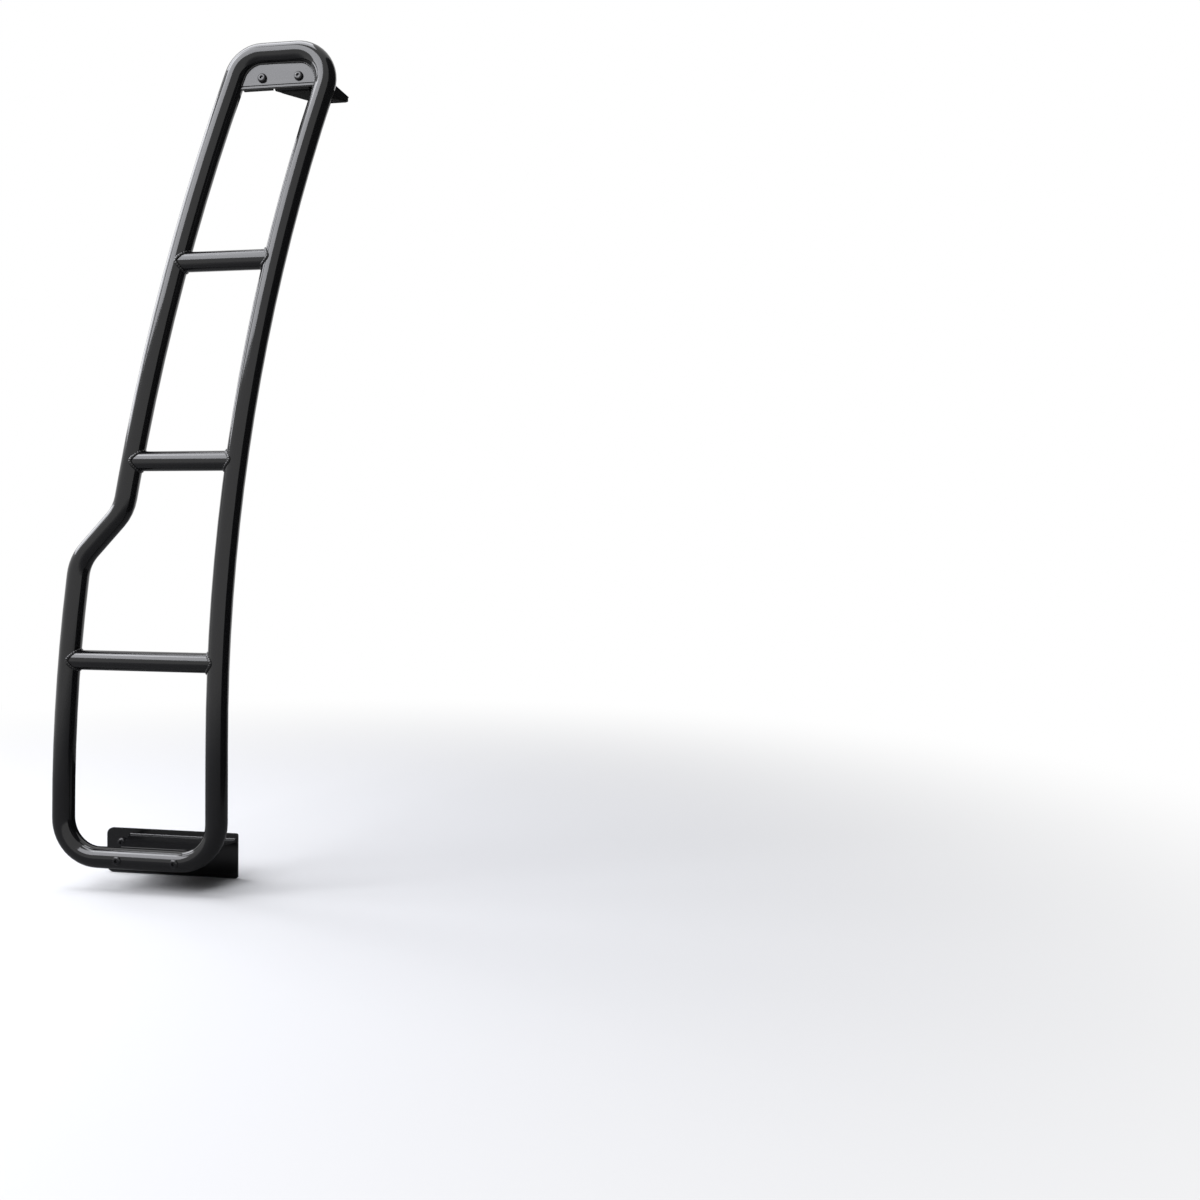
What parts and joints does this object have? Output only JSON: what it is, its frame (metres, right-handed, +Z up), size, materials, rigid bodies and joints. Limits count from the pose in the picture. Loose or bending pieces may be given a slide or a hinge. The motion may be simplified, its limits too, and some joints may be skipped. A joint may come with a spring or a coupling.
{
  "type": "rear door ladder",
  "caption": "Bent-tube ladder with welded rungs that follows a vehicle's rear body corner, with a shelf bracket that bolts to the body below and a folded bracket on the roof edge.",
  "frame": {"origin": "middle of the lower bracket's back face, where it lies on the body", "axes": "+X along the rungs to the right as seen from behind, +Y forward into the vehicle, +Z up"},
  "size_m": [0.4258, 0.1345, 1.278],
  "materials": {
    "tube_coat": "gloss black powder coat on steel tube",
    "plate_coat": "gloss black powder coat on folded steel sheet",
    "pad_rubber": "matt black rubber sheet"
  },
  "bodies": {
    "root": {"left_rail": "tube_coat", "right_rail": "tube_coat", "top_bow": "tube_coat", "bottom_bow": "tube_coat", "rung_1": "tube_coat", "rung_2": "tube_coat", "rung_3": "tube_coat", "face_plate": "plate_coat", "roof_bracket": "plate_coat", "roof_gusset": "plate_coat", "roof_pad": "pad_rubber", "lower_plate": "plate_coat", "lower_shelf": "plate_coat"}
  },
  "joints": []
}
